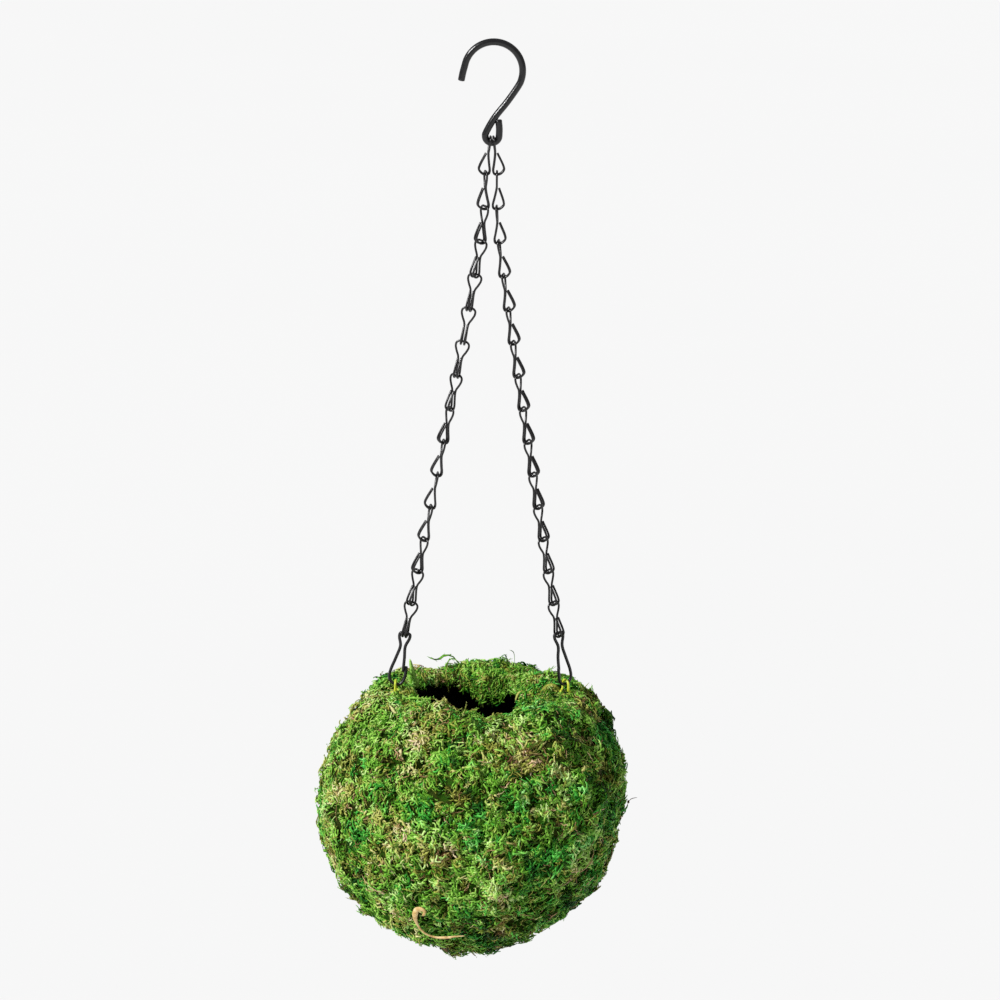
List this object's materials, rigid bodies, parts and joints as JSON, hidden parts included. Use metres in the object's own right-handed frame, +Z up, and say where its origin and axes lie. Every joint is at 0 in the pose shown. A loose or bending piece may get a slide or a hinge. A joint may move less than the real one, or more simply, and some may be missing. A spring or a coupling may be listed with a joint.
{
  "type": "hanging basket",
  "caption": "Ball-shaped moss hanging basket with a plastic liner inside a wire frame, hung by two strands of folded wire links from an S-hook.",
  "frame": {"origin": "underside of the S-hook's arch, where it sits on whatever holds it", "axes": "+Z up along the hanging line, X across the two strands (left strand at -X), -Y towards the viewer"},
  "size_m": [0.1994, 0.1994, 0.5938],
  "materials": {
    "hook_wire": "black enamel, semi-gloss",
    "chain_wire": "black enamel, satin, worn bright in the bends",
    "clip_wire": "black enamel, satin",
    "tie_coating": "yellow-green plastic-coated wire",
    "frame_wire": "dark green-black, dull",
    "liner_film": "black film, creased, low sheen",
    "moss": "dried and dyed sheet moss, fibrous, green to olive with brown stems"
  },
  "bodies": {
    "hook": {"s_hook": "hook_wire"},
    "links_01": {"left_link_01": "chain_wire", "right_link_01": "chain_wire"},
    "links_02": {"left_link_02": "chain_wire", "right_link_02": "chain_wire"},
    "links_03": {"left_link_03": "chain_wire", "right_link_03": "chain_wire"},
    "links_04": {"left_link_04": "chain_wire", "right_link_04": "chain_wire"},
    "links_05": {"left_link_05": "chain_wire", "right_link_05": "chain_wire"},
    "links_06": {"left_link_06": "chain_wire", "right_link_06": "chain_wire"},
    "links_07": {"left_link_07": "chain_wire", "right_link_07": "chain_wire"},
    "links_08": {"left_link_08": "chain_wire", "right_link_08": "chain_wire"},
    "links_09": {"left_link_09": "chain_wire", "right_link_09": "chain_wire"},
    "links_10": {"left_link_10": "chain_wire", "right_link_10": "chain_wire"},
    "links_11": {"left_link_11": "chain_wire", "right_link_11": "chain_wire"},
    "links_12": {"left_link_12": "chain_wire", "right_link_12": "chain_wire"},
    "links_13": {"left_link_13": "chain_wire", "right_link_13": "chain_wire"},
    "links_14": {"left_link_14": "chain_wire", "right_link_14": "chain_wire"},
    "links_15": {"left_link_15": "chain_wire", "right_link_15": "chain_wire"},
    "clips": {"left_clip": "clip_wire", "right_clip": "clip_wire"},
    "basket": {"wire_frame": "frame_wire", "plastic_liner": "liner_film", "moss_shell": "moss", "left_tie": "tie_coating", "right_tie": "tie_coating"}
  },
  "joints": [
    {"name": "side_swing", "type": "hinge", "parent": "hook", "child": "links_01", "pos_m": [0, 0, -0.05575], "axis": [0, 1, 0], "range_deg": [-45, 45]},
    {"name": "links_02_hinge", "type": "hinge", "parent": "links_01", "child": "links_02", "pos_m": [0, 0, -0.078], "axis": [1, 0, 0], "range_deg": [-10, 10]},
    {"name": "links_03_hinge", "type": "hinge", "parent": "links_02", "child": "links_03", "pos_m": [0, 0, -0.0997], "axis": [1, 0, 0], "range_deg": [-10, 10]},
    {"name": "links_04_hinge", "type": "hinge", "parent": "links_03", "child": "links_04", "pos_m": [0, 0, -0.12134], "axis": [1, 0, 0], "range_deg": [-10, 10]},
    {"name": "links_05_hinge", "type": "hinge", "parent": "links_04", "child": "links_05", "pos_m": [0, 0, -0.14277], "axis": [1, 0, 0], "range_deg": [-10, 10]},
    {"name": "links_06_hinge", "type": "hinge", "parent": "links_05", "child": "links_06", "pos_m": [0, 0, -0.1642], "axis": [1, 0, 0], "range_deg": [-10, 10]},
    {"name": "links_07_hinge", "type": "hinge", "parent": "links_06", "child": "links_07", "pos_m": [0, 0, -0.18561], "axis": [1, 0, 0], "range_deg": [-10, 10]},
    {"name": "links_08_hinge", "type": "hinge", "parent": "links_07", "child": "links_08", "pos_m": [0, 0, -0.20702], "axis": [1, 0, 0], "range_deg": [-10, 10]},
    {"name": "links_09_hinge", "type": "hinge", "parent": "links_08", "child": "links_09", "pos_m": [0, 0, -0.22842], "axis": [1, 0, 0], "range_deg": [-10, 10]},
    {"name": "links_10_hinge", "type": "hinge", "parent": "links_09", "child": "links_10", "pos_m": [0, 0, -0.24981], "axis": [1, 0, 0], "range_deg": [-10, 10]},
    {"name": "links_11_hinge", "type": "hinge", "parent": "links_10", "child": "links_11", "pos_m": [0, 0, -0.27119], "axis": [1, 0, 0], "range_deg": [-10, 10]},
    {"name": "links_12_hinge", "type": "hinge", "parent": "links_11", "child": "links_12", "pos_m": [0, 0, -0.29257], "axis": [1, 0, 0], "range_deg": [-10, 10]},
    {"name": "links_13_hinge", "type": "hinge", "parent": "links_12", "child": "links_13", "pos_m": [0, 0, -0.31393], "axis": [1, 0, 0], "range_deg": [-10, 10]},
    {"name": "links_14_hinge", "type": "hinge", "parent": "links_13", "child": "links_14", "pos_m": [0, 0, -0.33529], "axis": [1, 0, 0], "range_deg": [-10, 10]},
    {"name": "links_15_hinge", "type": "hinge", "parent": "links_14", "child": "links_15", "pos_m": [0, 0, -0.35663], "axis": [1, 0, 0], "range_deg": [-10, 10]},
    {"name": "clips_hinge", "type": "hinge", "parent": "links_15", "child": "clips", "pos_m": [0, 0, -0.37757], "axis": [1, 0, 0], "range_deg": [-20, 20]},
    {"name": "basket_tilt", "type": "hinge", "parent": "clips", "child": "basket", "pos_m": [0, 0, -0.4119], "axis": [1, 0, 0], "range_deg": [-35, 35]}
  ]
}
